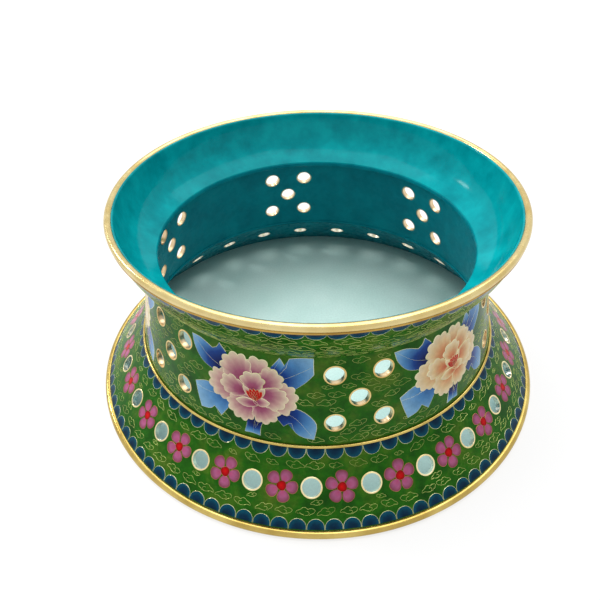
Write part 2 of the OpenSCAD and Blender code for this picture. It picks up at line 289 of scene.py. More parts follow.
def enamel(name, stops, source=None, rough=0.1, mottle=0.5, specular=0.08):
    """Fired enamel: glassy, faintly uneven, its colour mottled where the grains melted together."""
    mat, shader = finish(name, specular=specular)
    colour = ramp(mat, source(mat) if source else noise(mat, scale=70, detail=4), stops)
    cloudy = ramp(mat, noise(mat, scale=320, detail=5, roughness=0.65), [(0.3, 1 - mottle), (0.7, 1.0)])
    link_to(mat, blend(mat, 0.8, colour, cloudy, "MULTIPLY"), shader, "Base Color")
    gloss = ramp(mat, noise(mat, scale=140, detail=3), [(0.3, rough * 0.6), (0.75, rough * 1.8)])
    link_to(mat, gloss, shader, "Roughness")
    relief(mat, shader, noise(mat, scale=260, detail=3), 0.09 * MM, strength=0.6)
    return mat


green = enamel("green_enamel", [(0.3, srgb(20, 72, 8)), (0.5, srgb(34, 98, 12)), (0.7, srgb(76, 110, 26))],
               rough=0.2)
collar = Arc(on_bead(underwire_angle), (neck_r, neck_z), collar_curve_r)
piece("collar_coat", spun(coat_section(collar, enamel_t)), green, ["collar_enamel"])

# ---- Pot seat ----
# A copper shelf slopes up from the throat to a bowl, and the pot's round bottom sits on both. Thick
# teal enamel lines them, softly rounded where they meet and where it laps over the inside of the bead.
throat = Vector((87.7 * MM, 88.6 * MM))
shelf_slope, seat_curve_r = math.radians(31), 56.0 * MM
shelf_way = Vector((math.cos(shelf_slope), math.sin(shelf_slope)))
shelf_up = Vector((-shelf_way.y, shelf_way.x))
shelf_drop = lining_t / math.cos(shelf_slope)
copper_inside = collar_curve_r - enamel_t - copper_t
bend_round, edge_round, bowl_step = 5.0 * MM, 0.4 * MM, 0.5 * MM
lap_angle, bend_gap, back_gap = math.radians(152), 0.2 * MM, 2.0 * MM


def shelf_meets(radius, depth=0.0):
    """Where the shelf's face, moved down by depth, meets a circle round the collar's centre."""
    start = throat - shelf_up * depth
    v = start - collar.centre
    along = v.dot(shelf_way)
    return start + shelf_way * (math.sqrt(along**2 - v.length_squared + radius**2) - along)


def rounded(a, corner, b, points=8):
    """Points of a soft corner from a to b."""
    steps = [k / points for k in range(points + 1)]
    return [a.lerp(corner, t).lerp(corner.lerp(b, t), t) for t in steps]


# The bowl's face runs from the lip beside the bead to the bend at the shelf's outer end.
bend = shelf_meets(copper_inside - lining_t - bend_gap)
lip = Vector((rim_r - 1.3 * rim_bead_r, rim_z + 0.4 * rim_bead_r))
bowl = Arc(lip, bend, seat_curve_r)
bowl_spots = [bowl.spot(k * bowl_step)[0] for k in range(2, int((bowl.length - bend_round) / bowl_step))]

# The glaze's outline runs from the bead down the bowl, round the bend and down the shelf to the
# throat, then back underneath along the copper.
glaze = rounded(on_bead(lap_angle), lip, bowl_spots[0])
glaze += bowl_spots[1:-1]
glaze += rounded(bowl_spots[-1], bend, bend - shelf_way * bend_round, 10)
glaze += rounded(throat + shelf_way * edge_round, throat, throat - Vector((0, edge_round)), 4)
glaze += [throat - Vector((0, shelf_drop)), shelf_meets(copper_inside, lining_t)]
back_end = collar.first - back_gap / collar_curve_r
back_start = math.atan2(glaze[-1].y - collar.centre.y, glaze[-1].x - collar.centre.x)
back_turns = [back_start + (back_end - back_start) * k / 12 for k in range(1, 13)]
glaze += [collar.centre + copper_inside * Vector((math.cos(a), math.sin(a))) for a in back_turns]
teal = enamel("teal_enamel", [(0.3, srgb(0, 130, 138)), (0.65, srgb(6, 158, 164))], rough=0.09, mottle=0.12,
              specular=0.06)
piece("seat_glaze", spun(glaze), teal, ["seat_enamel"])

# The shelf's inner edge is covered by a thin band of the darker lining enamel: painted shade for the shadow
# under the shelf's edge.
shade_band_t, shade_band_lap = 0.25 * MM, 0.3 * MM
shade_band_top = throat - Vector((0, 0.9 * lining_t))
shade_band_low = throat - Vector((0, (2 * lining_t + copper_t) / math.cos(shelf_slope) + shade_band_lap))
edge = [shade_band_top, shade_band_low, shade_band_low + Vector((-shade_band_t, shade_band_t)), shade_band_top - Vector((shade_band_t, shade_band_t))]
lining = enamel("teal_lining", [(0.3, srgb(0, 116, 130)), (0.65, srgb(2, 136, 148))], rough=0.25, mottle=0.2,
                specular=0.04)
piece("seat_edge_painted_shade", spun(edge), lining)

# The seat's hidden back has a coat of the same enamel, so that the firing doesn't warp the copper.
keep("seat_back_enamel", lining)

# ---- Drum and skirt ----
# Two straight cones of sheet copper, brazed together at the waist and pierced with round air holes.
# Both have a green ground coat outside and plain dark teal lining inside, which ran into the corner
# between them as a soft fillet.
waist_r = 103.6 * MM
# The skirt's line meets the foot bead at skirt_low and runs on into the bead to skirt_end.
skirt_low = Vector((foot_r - 0.3 * foot_bead_r, foot_z + 0.9 * foot_bead_r))
skirt_end_z = foot_z + 0.2 * foot_bead_r
skirt_end_r = waist_r + (skirt_low.x - waist_r) * (waist_z - skirt_end_z) / (waist_z - skirt_low.y)
drum_ends = (neck_r, neck_z), (waist_r, waist_z)
skirt_ends = (waist_r, waist_z), (skirt_end_r, skirt_end_z)


class Cone:
    """A straight wall between two circles (radius, height), moved inwards by depth."""

    def __init__(self, top, low, depth=0.0):
        way = Vector(low) - Vector(top)
        self.length = way.length
        self.way = way.normalized()
        self.out = Vector((-self.way.y, self.way.x))
        self.top = Vector(top) - self.out * depth

    def spot(self, s):
        return self.top + self.way * s, self.out


def place(wall, az, s, lift=0.0):
    """The point on a wall at azimuth az (0 faces the viewer, positive to the right), s down it."""
    spot, out = wall.spot(s)
    r, z = spot + out * lift
    return Vector((r * math.sin(az), -r * math.cos(az), z))


def local(wall, az, s, x, y):
    """Azimuth and distance of the point x to the right of (az, s) and y up from it."""
    lower = s - y
    return az + x / wall.spot(lower)[0].x, lower


def join(bm, a, b):
    """Faces between two rows of as many points."""
    for k in range(len(a) - 1):
        bm.faces.new((a[k], a[k + 1], b[k + 1], b[k]))


def pierced(wall, azimuths, rows, holes, radius, thick, parts=8):
    """A cone's sheet, laid out in tiles between azimuths and rows. A tile in holes, as
    (column, row), has a round hole in its middle."""
    bm = bmesh.new()
    across = [2 * k / parts - 1 for k in range(parts + 1)]
    border = [(u, -1) for u in across[:-1]] + [(1, v) for v in across[:-1]]
    border += [(-u, 1) for u in across[:-1]] + [(-1, -v) for v in across]
    for i, (az_a, az_b) in enumerate(zip(azimuths, azimuths[1:])):
        az, half_az = (az_a + az_b) / 2, (az_b - az_a) / 2
        for j, (s_a, s_b) in enumerate(zip(rows, rows[1:])):
            s, half_s = (s_a + s_b) / 2, (s_b - s_a) / 2
            if (i, j) in holes:
                r = wall.spot(s)[0].x
                lines = [[] for _ in range(4)]
                for u, v in border:
                    corner = Vector((az + u * half_az, s + v * half_s))
                    way = Vector((u * half_az * r, -v * half_s)).normalized() * radius
                    rim = Vector(local(wall, az, s, way.x, way.y))
                    for step, line in enumerate(lines):
                        line.append(bm.verts.new(place(wall, *corner.lerp(rim, step / 3))))
            else:
                lines = [[bm.verts.new(place(wall, az + u * half_az, s + v * half_s)) for u in across]
                         for v in across]
            for a, b in zip(lines, lines[1:]):
                join(bm, a, b)
    bmesh.ops.remove_doubles(bm, verts=bm.verts, dist=0.01 * MM)
    grown = bmesh.ops.extrude_face_region(bm, geom=list(bm.faces), use_keep_orig=True)["geom"]
    for vert in grown:
        if isinstance(vert, bmesh.types.BMVert):
            flat = Vector((vert.co.x, vert.co.y, 0)).normalized()
            vert.co -= (flat * wall.out.x + Vector((0, 0, wall.out.y))) * thick
    return bm


def down(wall, z):
    """Distance down a straight wall to the height z."""
    return (wall.top.y - z) / -wall.way.y


drum, skirt = Cone(*drum_ends), Cone(*skirt_ends)
hole_r, eyelet_w = 4.6 * MM, 0.7 * MM
coat_hole_r, lining_hole_r = hole_r + 0.8 * eyelet_w, hole_r + 0.3 * MM

# The drum has groups of five holes, set as on a die. They lie in three rows of its tiles.
groups, first_az = 6, math.radians(12)
holes_z, hole_rise, hole_step = 61.3 * MM, 13.4 * MM, 11.7 * MM
holes_s = down(drum, holes_z)
row_s = hole_rise / -drum.way.y
step_az = hole_step / drum.spot(holes_s)[0].x
blank = (math.tau / groups - 3 * step_az) / 4
group_azs = [first_az + g * math.tau / groups for g in range(groups)]
drum_rows = [0.0, *(holes_s + k * row_s for k in (-1.5, -0.5, 0.5, 1.5)), drum.length]
drum_lines, drum_tiles = [], set()
for az in group_azs:
    column = len(drum_lines)
    drum_lines += [az + k * step_az for k in (-1.5, -0.5, 0.5)]
    drum_lines += [az + 1.5 * step_az + k * blank for k in range(4)]
    drum_tiles |= {(column, 1), (column + 2, 1), (column + 1, 2), (column, 3), (column + 2, 3)}
drum_lines.append(drum_lines[0] + math.tau)
drum_holes = [(az + i * step_az, holes_s + j * row_s) for az in group_azs
              for i, j in ((-1, -1), (1, -1), (0, 0), (-1, 1), (1, 1))]

# The skirt has one row of holes, with two plain tiles between each two holes.
skirt_n, skirt_first = 25, math.radians(-1)
skirt_holes_z, tile_half = 19.3 * MM, 6.2 * MM
skirt_s = down(skirt, skirt_holes_z)
skirt_half = tile_half / skirt.spot(skirt_s)[0].x
skirt_azs = [skirt_first + k * math.tau / skirt_n for k in range(skirt_n)]
skirt_rows = [0.0, skirt_s - tile_half, skirt_s + tile_half, skirt.length]
skirt_lines, skirt_tiles = [], set()
for az in skirt_azs:
    skirt_tiles.add((len(skirt_lines), 1))
    skirt_lines += [az - skirt_half, az + skirt_half, az + math.pi / skirt_n]
skirt_lines.append(skirt_lines[0] + math.tau)
skirt_holes = [(az, skirt_s) for az in skirt_azs]

for name, ends, tiling in (("drum", drum_ends, (drum_lines, drum_rows, drum_tiles)),
                           ("skirt", skirt_ends, (skirt_lines, skirt_rows, skirt_tiles))):
    coat = pierced(Cone(*ends), *tiling, coat_hole_r, enamel_t)
    piece(name + "_coat", coat, green, [name + "_enamel"])
    inside_coat = pierced(Cone(*ends, enamel_t + copper_t), *tiling, lining_hole_r, lining_t)
    piece(name + "_inside", inside_coat, lining, [name + "_lining"])

wall_t = enamel_t + copper_t + lining_t
fillet_centre_r, fillet_r = waist_r - wall_t - 0.25 * MM, 0.75 * MM
piece("waist_fillet", spun(round_section(fillet_centre_r, waist_z, fillet_r, 16)), lining)


# ---- Eyelets ----
# Each air hole is lined with a strip of gilt brass, bent to a ring and rolled out over the enamel's
# edge. Inside the holes the gilt is painted pale cream in the drum, darker towards the inner end, and
# near white in the skirt: painted light seen through the holes.
def shade(mat):
    """The value from 0 to 1 that the piece's own mesh carries."""
    return add_node(mat, "ShaderNodeAttribute", attribute_name="shade").outputs["Fac"]


def shade_layer(bm):
    return bm.verts.layers.float.get("shade") or bm.verts.layers.float.new("shade")


def eyelet_gilt(name, light, dark, inner):
    """Gilding that is worn round the hole and takes the stops of inner, by the shade, down inside it:
    painted light in the hole.
    """
    mat, shader = finish(name, metallic=1.0)
    depth = shade(mat)
    outside = ramp(mat, depth, [(0.75, 0.0), (0.95, 1.0)])
    polish(mat, shader, blend(mat, outside, ramp(mat, depth, inner), patchy(mat, light, dark)), 0.3)
    return mat


def add_eyelet(bm, wall, az, s, points=40):
    """A ring through the sheet, whose rolled edge stands a little proud of the enamel. Its shade is 1
    round the hole and falls to 0 at the back."""
    inner, outer, proud = hole_r - 0.05 * MM, hole_r + eyelet_w, 0.15 * MM
    section = [(inner, -wall_t), (inner, -wall_t / 2), (inner, 0.05 * MM), (hole_r + 0.12 * MM, proud),
               (hole_r + 0.5 * MM, proud), (outer, 0.02 * MM), (outer, -wall_t)]
    levels = (0.0, 0.45, 0.8, 1.0, 1.0, 1.0, 0.0)
    shades = shade_layer(bm)
    rows = []
    for k in range(points):
        a = math.tau * k / points
        row = [bm.verts.new(place(wall, *local(wall, az, s, r * math.cos(a), r * math.sin(a)), lift))
               for r, lift in section]
        for vert, level in zip(row, levels):
            vert[shades] = level
        rows.append(row + row[:1])
    for a, b in zip(rows, rows[1:] + rows[:1]):
        join(bm, a, b)


# Painted light: these pale colours inside the holes stand in for the light seen through them.
drum_hole_painted_light = [(0.0, srgb(190, 168, 132)), (0.4, srgb(232, 208, 170)), (1.0, srgb(222, 184, 124))]
skirt_hole_painted_light = [(0.0, srgb(248, 246, 236)), (1.0, srgb(248, 240, 216))]
hole_brass = eyelet_gilt("gilt_drum_holes_painted_light", srgb(236, 214, 152), srgb(200, 166, 96), drum_hole_painted_light)
skirt_eyelet_gilt = eyelet_gilt("gilt_skirt_holes_painted_light", srgb(246, 230, 180), srgb(228, 206, 146), skirt_hole_painted_light)
for name, wall, spots, node, mat in (("drum_eyelets", drum, drum_holes, "drum_hole_wires", hole_brass),
                                     ("skirt_eyelets", skirt, skirt_holes, "skirt_hole_wires", skirt_eyelet_gilt)):
    bm = bmesh.new()
    for az, s in spots:
        add_eyelet(bm, wall, az, s)
    piece(name, bm, mat, [node])


# ---- Scallops ----
# Three rows of dark blue half rounds, under the rim, under the waist and above the foot. Each is a
# cell of enamel closed by a flat gilt wire, bent to an arc and soldered on edge to the copper.
WIRE_W, WIRE_LIFT, WIRE_DEPTH = 0.44 * MM, 0.07 * MM, 0.1 * MM
CELL_LIFT, CELL_STEP, CELL_DEPTH = 0.03 * MM, 0.03 * MM, 0.3 * MM


def add_cell(bm, wall, az, s, cell, base=0.0, rings=4, spread=0.0):
    """Lays a cell of enamel on a wall as a thin plate. A cell has its outline in millimetres round
    (0, 0), x to the right and y up, the root from which its colour spreads, and its layer, because a
    petal in front hides the one behind. Its shade runs from base at the root to 1 at the edge, or, by
    the share spread, to 1 at the point farthest from the root."""
    shades = shade_layer(bm)
    lift = CELL_LIFT + cell["layer"] * CELL_STEP
    x0, y0 = cell["root"]
    far = max(math.hypot(x - x0, y - y0) for x, y in cell["outline"])

    def vert(x, y, height, value):
        corner = bm.verts.new(place(wall, *local(wall, az, s, x * MM, y * MM), height))
        reach = math.hypot(x - x0, y - y0) / far
        corner[shades] = base + (1 - base) * (value * (1 - spread) + reach * spread)
        return corner

    middle = vert(x0, y0, lift, 0.0)
    loops = []
    for ring in range(1, rings + 1):
        f = ring / rings
        loops.append([vert(x0 + (x - x0) * f, y0 + (y - y0) * f, lift, f) for x, y in cell["outline"]])
    loops.append([vert(x, y, lift - CELL_DEPTH, 1.0) for x, y in cell["outline"]])
    for loop in loops:
        loop.append(loop[0])
    for a, b in zip(loops[0], loops[0][1:]):
        bm.faces.new((middle, a, b))
    for a, b in zip(loops, loops[1:]):
        join(bm, a, b)
    bm.faces.new(loops[-1][:-1])


def add_wire(bm, line, closed=False, width=WIRE_W):
    """A fine wire along points, each a (place, normal), that shows as a narrow ridge."""
    rows = []
    last = len(line) - 1
    for k, (spot, up) in enumerate(line):
        before = line[k - 1] if k or closed else line[0]
        after = line[k + 1] if k < last else line[0 if closed else last]
        side = (after[0] - before[0]).cross(up).normalized() * width / 2
        low = spot - up * WIRE_DEPTH
        rows.append([bm.verts.new(p) for p in (low - side, spot + up * WIRE_LIFT, low + side)])
    for row in rows:
        row.append(row[0])
    if closed:
        rows.append(rows[0])
    else:
        bm.faces.new(rows[0][:3])
        bm.faces.new(rows[-1][:3])
    for a, b in zip(rows, rows[1:]):
        join(bm, a, b)


def normal(wall, az, s):
    out = wall.spot(s)[1]
    return Vector((out.x * math.sin(az), -out.x * math.cos(az), out.y))


def on_wall(wall, az, s, points, lift=0.0):
    """Places and normals on a wall of points in millimetres round (az, s)."""
    spots = [local(wall, az, s, x * MM, y * MM) for x, y in points]
    return [(place(wall, *spot, lift), normal(wall, *spot)) for spot in spots]


def scallop(radius, drop, side):
    """A half round whose straight edge is level with (0, 0), with its round end below for side -1."""
    steps = 24
    arc = [math.pi - k * math.pi / steps for k in range(steps + 1)]
    curve = [(-radius, 0.0)] + [(radius * math.cos(a), side * (drop + radius * math.sin(a))) for a in arc]
    curve.append((radius, 0.0))
    return {"root": (0.0, 0.1 * side), "outline": curve, "layer": 0}


def scallop_row(name, wall, s, count, side, drop, node):
    """A row of scallops, drop mm deeper than half rounds, with straight edges at distance s down a wall."""
    gap = 0.4 * MM
    radius = (math.tau * wall.spot(s)[0].x / count - gap) / 2
    bm, wires = bmesh.new(), bmesh.new()
    shape = scallop(radius / MM, drop, side)
    for k in range(count):
        az = k * math.tau / count
        add_cell(bm, wall, az, s, shape, spread=0.7)
        add_wire(wires, on_wall(wall, az, s, shape["outline"]))
    piece(name, bm, navy, [node])
    piece(name + "_wires", wires, wire_gold)


navy = enamel("navy_enamel", [(0.0, srgb(0, 34, 58)), (0.5, srgb(0, 48, 74)), (1.0, srgb(4, 80, 100))],
              shade)
wire_gold = metal("gilt_wires", srgb(234, 232, 190), srgb(198, 198, 140), 0.3)
foot_s = down(skirt, skirt_low.y) - 0.4 * MM
scallop_row("rim_scallop_cells", collar, 0.6 * MM, count=78, side=-1, drop=0.4, node="rim_scallops")
scallop_row("waist_scallop_cells", skirt, 1.3 * MM, count=72, side=-1, drop=0.7, node="waist_scallops")
scallop_row("foot_scallop_cells", skirt, foot_s, count=92, side=1, drop=0.9, node="foot_scallops")


# ---- Blossoms ----
# A five-petalled blossom of pink enamel with a red eye lies between each two holes of the skirt. Bare
# copper wires close its cells, and each was set by hand, so no two are turned alike.
def turned(x, y, degrees):
    a = math.radians(degrees)
    return x * math.cos(a) - y * math.sin(a), x * math.sin(a) + y * math.cos(a)


def turned_cell(cell, degrees):
    outline = [turned(*point, degrees) for point in cell["outline"]]
    return {**cell, "outline": outline, "root": turned(*cell["root"], degrees)}


def petal(x, y, turn, length, width, lobes=0, deep=0.0, point=0.0, layer=0, points=80):
    """A petal that grows from its root (x, y) in the direction turn. Its edge has lobes, deep as a
    share of its size, and its far end narrows to a point as point nears 1."""
    outline = []
    for k in range(points):
        a = math.tau * k / points
        c = math.cos(a)
        ruffle = 1 + deep * (abs(math.sin(lobes * a / 2)) - 0.5) * min(max((c + 0.7) / 0.7, 0), 1)
        along = length * (0.42 + 0.5 * c * ruffle)
        wide = width / 2 * math.sin(a) * ruffle * (1 + 0.2 * c) * (1 - point * max(c, 0) ** 2)
        px, py = turned(along, wide, turn)
        outline.append((x + px, y + py))
    return {"root": (x, y), "outline": outline, "layer": layer}


def inside(x, y, outline):
    """Whether a point lies inside an outline."""
    hit = False
    for (xa, ya), (xb, yb) in zip(outline, outline[1:] + outline[:1]):
        if (ya > y) != (yb > y) and x < (xb - xa) * (y - ya) / (yb - ya) + xa:
            hit = not hit
    return hit


def add_outlines(bm, wall, az, s, cells):
    """The wires round cells, left out where a cell of a higher layer hides them. A cell may name the
    width of its own wire."""
    for cell in cells:
        above = [other["outline"] for other in cells if other["layer"] > cell["layer"]]
        lift, width = cell["layer"] * CELL_STEP, cell.get("wire", WIRE_W)
        runs, run = [], []
        for point in cell["outline"] + cell["outline"][:1]:
            if any(inside(*point, outline) for outline in above):
                runs.append(run)
                run = []
            else:
                run.append(point)
        runs.append(run)
        if len(runs) == 1:
            add_wire(bm, on_wall(wall, az, s, cell["outline"], lift), closed=True, width=width)
            continue
        for run in runs:
            if len(run) > 2:
                add_wire(bm, on_wall(wall, az, s, run, lift), width=width)


pink = enamel("pink_enamel", [(0.0, srgb(176, 70, 110)), (0.6, srgb(168, 90, 130)),
                              (1.0, srgb(124, 66, 76))], shade, mottle=0.3)
red = enamel("red_enamel", [(0.0, srgb(206, 10, 16)), (0.7, srgb(170, 4, 10)), (1.0, srgb(104, 8, 10))],
             shade, mottle=0.3)
petal_root, petal_turns, most_turn = 2.6, [72 * k for k in range(5)], 16
blossom = [petal(*turned(petal_root, 0, turn), turn, 6.0, 5.9, points=28) for turn in petal_turns]
eye = {**petal(-2.0, 0, 0, 4.8, 4.7, points=24, layer=1), "root": (0.0, 0.0)}
petal_bm, eye_bm, wires = bmesh.new(), bmesh.new(), bmesh.new()
blossom_spots = [(az + math.pi / skirt_n, skirt_s) for az in skirt_azs]
draw = random.Random(2)
for az, s in blossom_spots:
    turn = draw.uniform(-most_turn, most_turn)
    petals = [turned_cell(cell, turn) for cell in blossom]
    middle = turned_cell(eye, turn)
    for cell in petals:
        add_cell(petal_bm, skirt, az, s, cell, base=0.1, rings=3)
    add_cell(eye_bm, skirt, az, s, middle, rings=3)
    add_outlines(wires, skirt, az, s, petals + [middle])
piece("blossom_petal_cells", petal_bm, pink, ["blossom_petals"])
piece("blossom_eye_cells", eye_bm, red, ["blossom_eyes"])
piece("blossom_wires", wires, copper)

# ---- Peonies ----
# Between each two groups of holes lies a full peony with ruffled petals, mauve and peach in turn, and
# blue leaves. Each cell holds two or three enamels laid wet against each other, so its colour runs
# from dark at the root to pale at the edge.
peony = [
    petal(-9.5, -1.5, 0, 22.0, 19.0, layer=2),
    petal(1.5, 6.0, 80, 14.5, 12.5, 8, 0.22, layer=3),
    petal(-3.0, 5.0, 126, 16.5, 15.5, 10, 0.2, layer=4),
    petal(5.0, 4.5, 44, 12.5, 11.5, 8, 0.22, layer=4),
    petal(-5.0, -0.5, 181, 19.0, 16.0, 11, 0.2, layer=3),
    petal(6.0, -0.5, -8, 17.5, 17.5, 11, 0.2, layer=3),
    petal(1.0, -5.0, -135, 16.0, 15.0, 11, 0.2, layer=4),
    petal(4.0, -6.0, -58, 13.0, 12.5, 9, 0.22, layer=5),
    petal(5.5, 0.5, -22, 13.5, 12.5, 9, 0.18, layer=6),
    petal(-3.4, -1.5, 162, 13.5, 10.5, 8, 0.22, layer=6),
    petal(1.2, 1.0, 95, 10.5, 11.0, 7, 0.24, layer=7),
    petal(2.2, -4.2, 134, 9.5, 3.4, point=0.4, layer=8, points=32),
    petal(2.6, -4.2, 60, 9.0, 3.4, point=0.4, layer=8, points=32),
    petal(3.0, -6.6, 183, 11.5, 5.2, point=0.7, layer=9, points=32),
    petal(2.2, -5.4, 4, 8.0, 4.8, point=0.7, layer=9, points=32),
]
heart_wire_w, rib_w = 0.22 * MM, 0.3 * MM
heart = [{**petal(2.4, -4.4, 98 + 19 * k, 7.0, 2.8, point=0.5, layer=10, points=24), "wire": heart_wire_w}
         for k in (-2, -1, 0, 1, 2)]


def smooth(points, parts=4):
    """Points along the round curve that runs through the given ones."""
    pts = [Vector(p) for p in points]
    pts = [2 * pts[0] - pts[1]] + pts + [2 * pts[-1] - pts[-2]]
    curve = []
    for a, b, c, d in zip(pts, pts[1:], pts[2:], pts[3:]):
        for k in range(parts):
            t = k / parts
            curve.append(0.5 * (2 * b + (c - a) * t + (2 * a - 5 * b + 4 * c - d) * t**2
                                + (3 * b - a - 3 * c + d) * t**3))
    return curve + [pts[-2]]


def leaf(base, layer, rib, *sides):
    """A leaf of smooth sides that meet in sharp points, with its rib's path from root to tip. Its
    shade starts from base, so a lower base makes it darker."""
    outline = [tuple(p) for side, after in zip(sides, sides[1:] + sides[:1])
               for p in smooth([*side, after[0]])[:-1]]
    return {"root": rib[0], "outline": outline, "layer": layer, "base": base, "rib": smooth(rib)}


leaves = [
    leaf(-0.3, 1, [(-13, 8), (-23, 12), (-32, 19.5)], [(-10, 3), (-19, 5), (-27, 8), (-31.5, 14)],
         [(-33, 20), (-27, 20)], [(-20.5, 17.5), (-18, 19)], [(-16.5, 21.8), (-12, 16)]),
    leaf(0.3, 1, [(-12, -6), (-22, -9), (-31, -9)], [(-9, -2), (-17, -3), (-25, -3.6)],
         [(-32, -7), (-30.5, -14)], [(-28.5, -21), (-23, -19.5)], [(-20, -16.5), (-18.5, -18)],
         [(-16, -20.5), (-11, -12)]),
    leaf(-0.5, 0, [(8, 9), (11, 15), (13.4, 20)], [(5, 8), (9, 15)], [(13.4, 21.6), (15.5, 18)],
         [(18, 14), (15, 8)]),
    leaf(-0.05, 1, [(10, 7), (19, 12), (28, 17.5)], [(8, 8), (13, 12)], [(16.5, 16.5), (17, 19)],
         [(17.8, 21.6), (23, 22.4)], [(28.6, 22.4), (28.8, 18)], [(29.2, 13.5), (25, 8.5), (18, 4)]),
    leaf(-0.25, 1, [(12, -7), (22, -12), (30, -22)], [(10, -3), (18, -5), (26, -8), (32, -15)],
         [(31.5, -24.3), (26, -23), (22, -20)], [(20.3, -15), (18.5, -15.6)], [(16.5, -17.4), (12, -11)]),
    leaf(-1.0, 1, [(3, -12), (2, -18), (1.5, -24)], [(-2, -12), (-1.8, -19)], [(-3, -25.4), (1, -25)],
         [(5.2, -25.6), (5.4, -20)], [(7.4, -15), (4.6, -17)], [(2.6, -21.5), (1.6, -16)]),
]

mauve = enamel("mauve_enamel", [(0.0, srgb(132, 36, 74)), (0.4, srgb(152, 82, 108)),
                                (0.72, srgb(188, 148, 142)), (1.0, srgb(218, 204, 174))], shade, mottle=0.25)
peach = enamel("peach_enamel", [(0.0, srgb(188, 80, 52)), (0.4, srgb(200, 138, 92)),
                                (0.72, srgb(214, 186, 140)), (1.0, srgb(222, 208, 176))], shade, mottle=0.25)
stamen = enamel("stamen_enamel", [(0.0, srgb(88, 4, 4)), (0.5, srgb(160, 8, 6)), (1.0, srgb(192, 30, 16))],
                shade, mottle=0.3)
leafy = enamel("leaf_enamel", [(0.0, srgb(6, 22, 82)), (0.32, srgb(16, 58, 130)), (0.62, srgb(74, 130, 182)),
                               (1.0, srgb(134, 180, 212))], shade, mottle=0.3)
peony_z = 62 * MM
peony_s = down(drum, peony_z)
peony_azs = [az + math.pi / groups for az in group_azs]
flower_bms = [bmesh.new(), bmesh.new()]
heart_bm, leaf_bm, wires = bmesh.new(), bmesh.new(), bmesh.new()
for g, az in enumerate(peony_azs):
    for cell in peony:
        add_cell(flower_bms[g % 2], drum, az, peony_s, cell, rings=6, spread=0.35)
    for cell in heart:
        add_cell(heart_bm, drum, az, peony_s, cell, rings=3)
    for cell in leaves:
        add_cell(leaf_bm, drum, az, peony_s, cell, cell["base"], rings=5, spread=0.85)
        add_wire(wires, on_wall(drum, az, peony_s, cell["rib"], cell["layer"] * CELL_STEP), width=rib_w)
    add_outlines(wires, drum, az, peony_s, peony + heart + leaves)
piece("peach_peonies", flower_bms[0], peach, ["peach_petals"])
piece("mauve_peonies", flower_bms[1], mauve, ["mauve_petals"])
piece("peony_stamens", heart_bm, stamen, ["peony_hearts"])
piece("peony_leaf_cells", leaf_bm, leafy, ["peony_leaves"])
piece("peony_wires", wires, wire_gold)

# ---- Clouds ----
# The green ground is held by small open wires, each bent by hand to a flat curled cloud. They keep the
# enamel from cracking as it cools, and fill whatever room the holes and flowers leave.
cloud_path = [(0.1, 0.4), (1.4, 0.3), (2.0, -0.6), (0.9, -1.7), (-1.3, -1.5), (-2.8, -0.9), (-4.9, -1.1),
              (-4.3, 0.2), (-2.7, 1.0), (-1.7, 2.0), (-0.2, 2.3), (1.1, 1.4), (2.4, 2.0), (4.0, 1.9),
              (4.9, 1.1), (4.2, -0.2), (2.9, -0.9), (2.0, -1.7)]
cloud_pitch, cloud_rise, cloud_wire_w = 10.4 * MM, 4.5 * MM, 0.42 * MM
# By hand, a cloud goes astray by a share of its pitch and a few degrees, and comes out a little small.
cloud_shift, cloud_tilt, smallest, largest = 0.07, 9, 0.8, 0.97
near_by = 35 * MM
cloud_gold = metal("gilt_cloud_wires", srgb(188, 196, 116), srgb(138, 150, 78), 0.34)


def clouds(name, wall, first_s, last_s, blocked, seed, wide=1.0, tall=1.0):
    """Rows of clouds between two distances down a wall, made smaller or left out where they would
    touch a blocked round spot, given as (azimuth, distance, radius). Only spots near by are tried."""
    draw = random.Random(seed)
    curve = [(x * wide, y * tall) for x, y in smooth(cloud_path, 3)]
    bm = bmesh.new()
    rows = max(1, round((last_s - first_s) / (cloud_rise * tall)))
    for row in range(rows):
        s = first_s + (row + 0.5) * (last_s - first_s) / rows
        r = wall.spot(s)[0].x
        count = round(math.tau * r / (cloud_pitch * wide))
        for k in range(count):
            az = (k + 0.5 * (row % 2) + draw.uniform(-cloud_shift, cloud_shift)) * math.tau / count
            flip, tilt = draw.choice((-1, 1)), draw.uniform(-cloud_tilt, cloud_tilt)
            size = draw.uniform(smallest, largest)
            near = [spot for spot in blocked if abs(math.remainder(spot[0] - az, math.tau)) * r < near_by]
            for small in (1.0, 0.75, 0.55):
                points = [turned(x * flip * size * small, y * size * small, tilt) for x, y in curve]
                spots = [local(wall, az, s, x * MM, y * MM) for x, y in points[::3]]
                if all(math.hypot(math.remainder(a - b, math.tau) * r, c - d) > radius
                       for a, c in spots for b, d, radius in near):
                    add_wire(bm, on_wall(wall, az, s, points), width=cloud_wire_w)
                    break
    piece(name, bm, cloud_gold)


hole_clear, peony_clear, blossom_clear = hole_r + 1.3 * MM, 21 * MM, 9.4 * MM
# Round spots over the leaves, as (x, y, radius) in millimetres from the peony's middle.
leaf_spots = [(-20, 13, 8), (-28, 15, 6), (22, 15, 9), (-24, -11, 9), (24, -15, 9), (1.5, -21, 6)]
drum_blocked = [(az, s, hole_clear) for az, s in drum_holes]
for az in peony_azs:
    drum_blocked.append((az, peony_s, peony_clear))
    drum_blocked += [(*local(drum, az, peony_s, x * MM, y * MM), radius * MM) for x, y, radius in leaf_spots]
skirt_blocked = [(az, s, hole_clear) for az, s in skirt_holes]
skirt_blocked += [(az, s, blossom_clear) for az, s in blossom_spots]
clouds("collar_clouds", collar, 5.2 * MM, collar.length - 1.2 * MM, [], seed=3, wide=1.2, tall=1.4)
clouds("drum_clouds", drum, 0.8 * MM, drum.length - 1.5 * MM, drum_blocked, seed=5)
clouds("skirt_clouds", skirt, 7.2 * MM, foot_s - 6.2 * MM, skirt_blocked, seed=8)

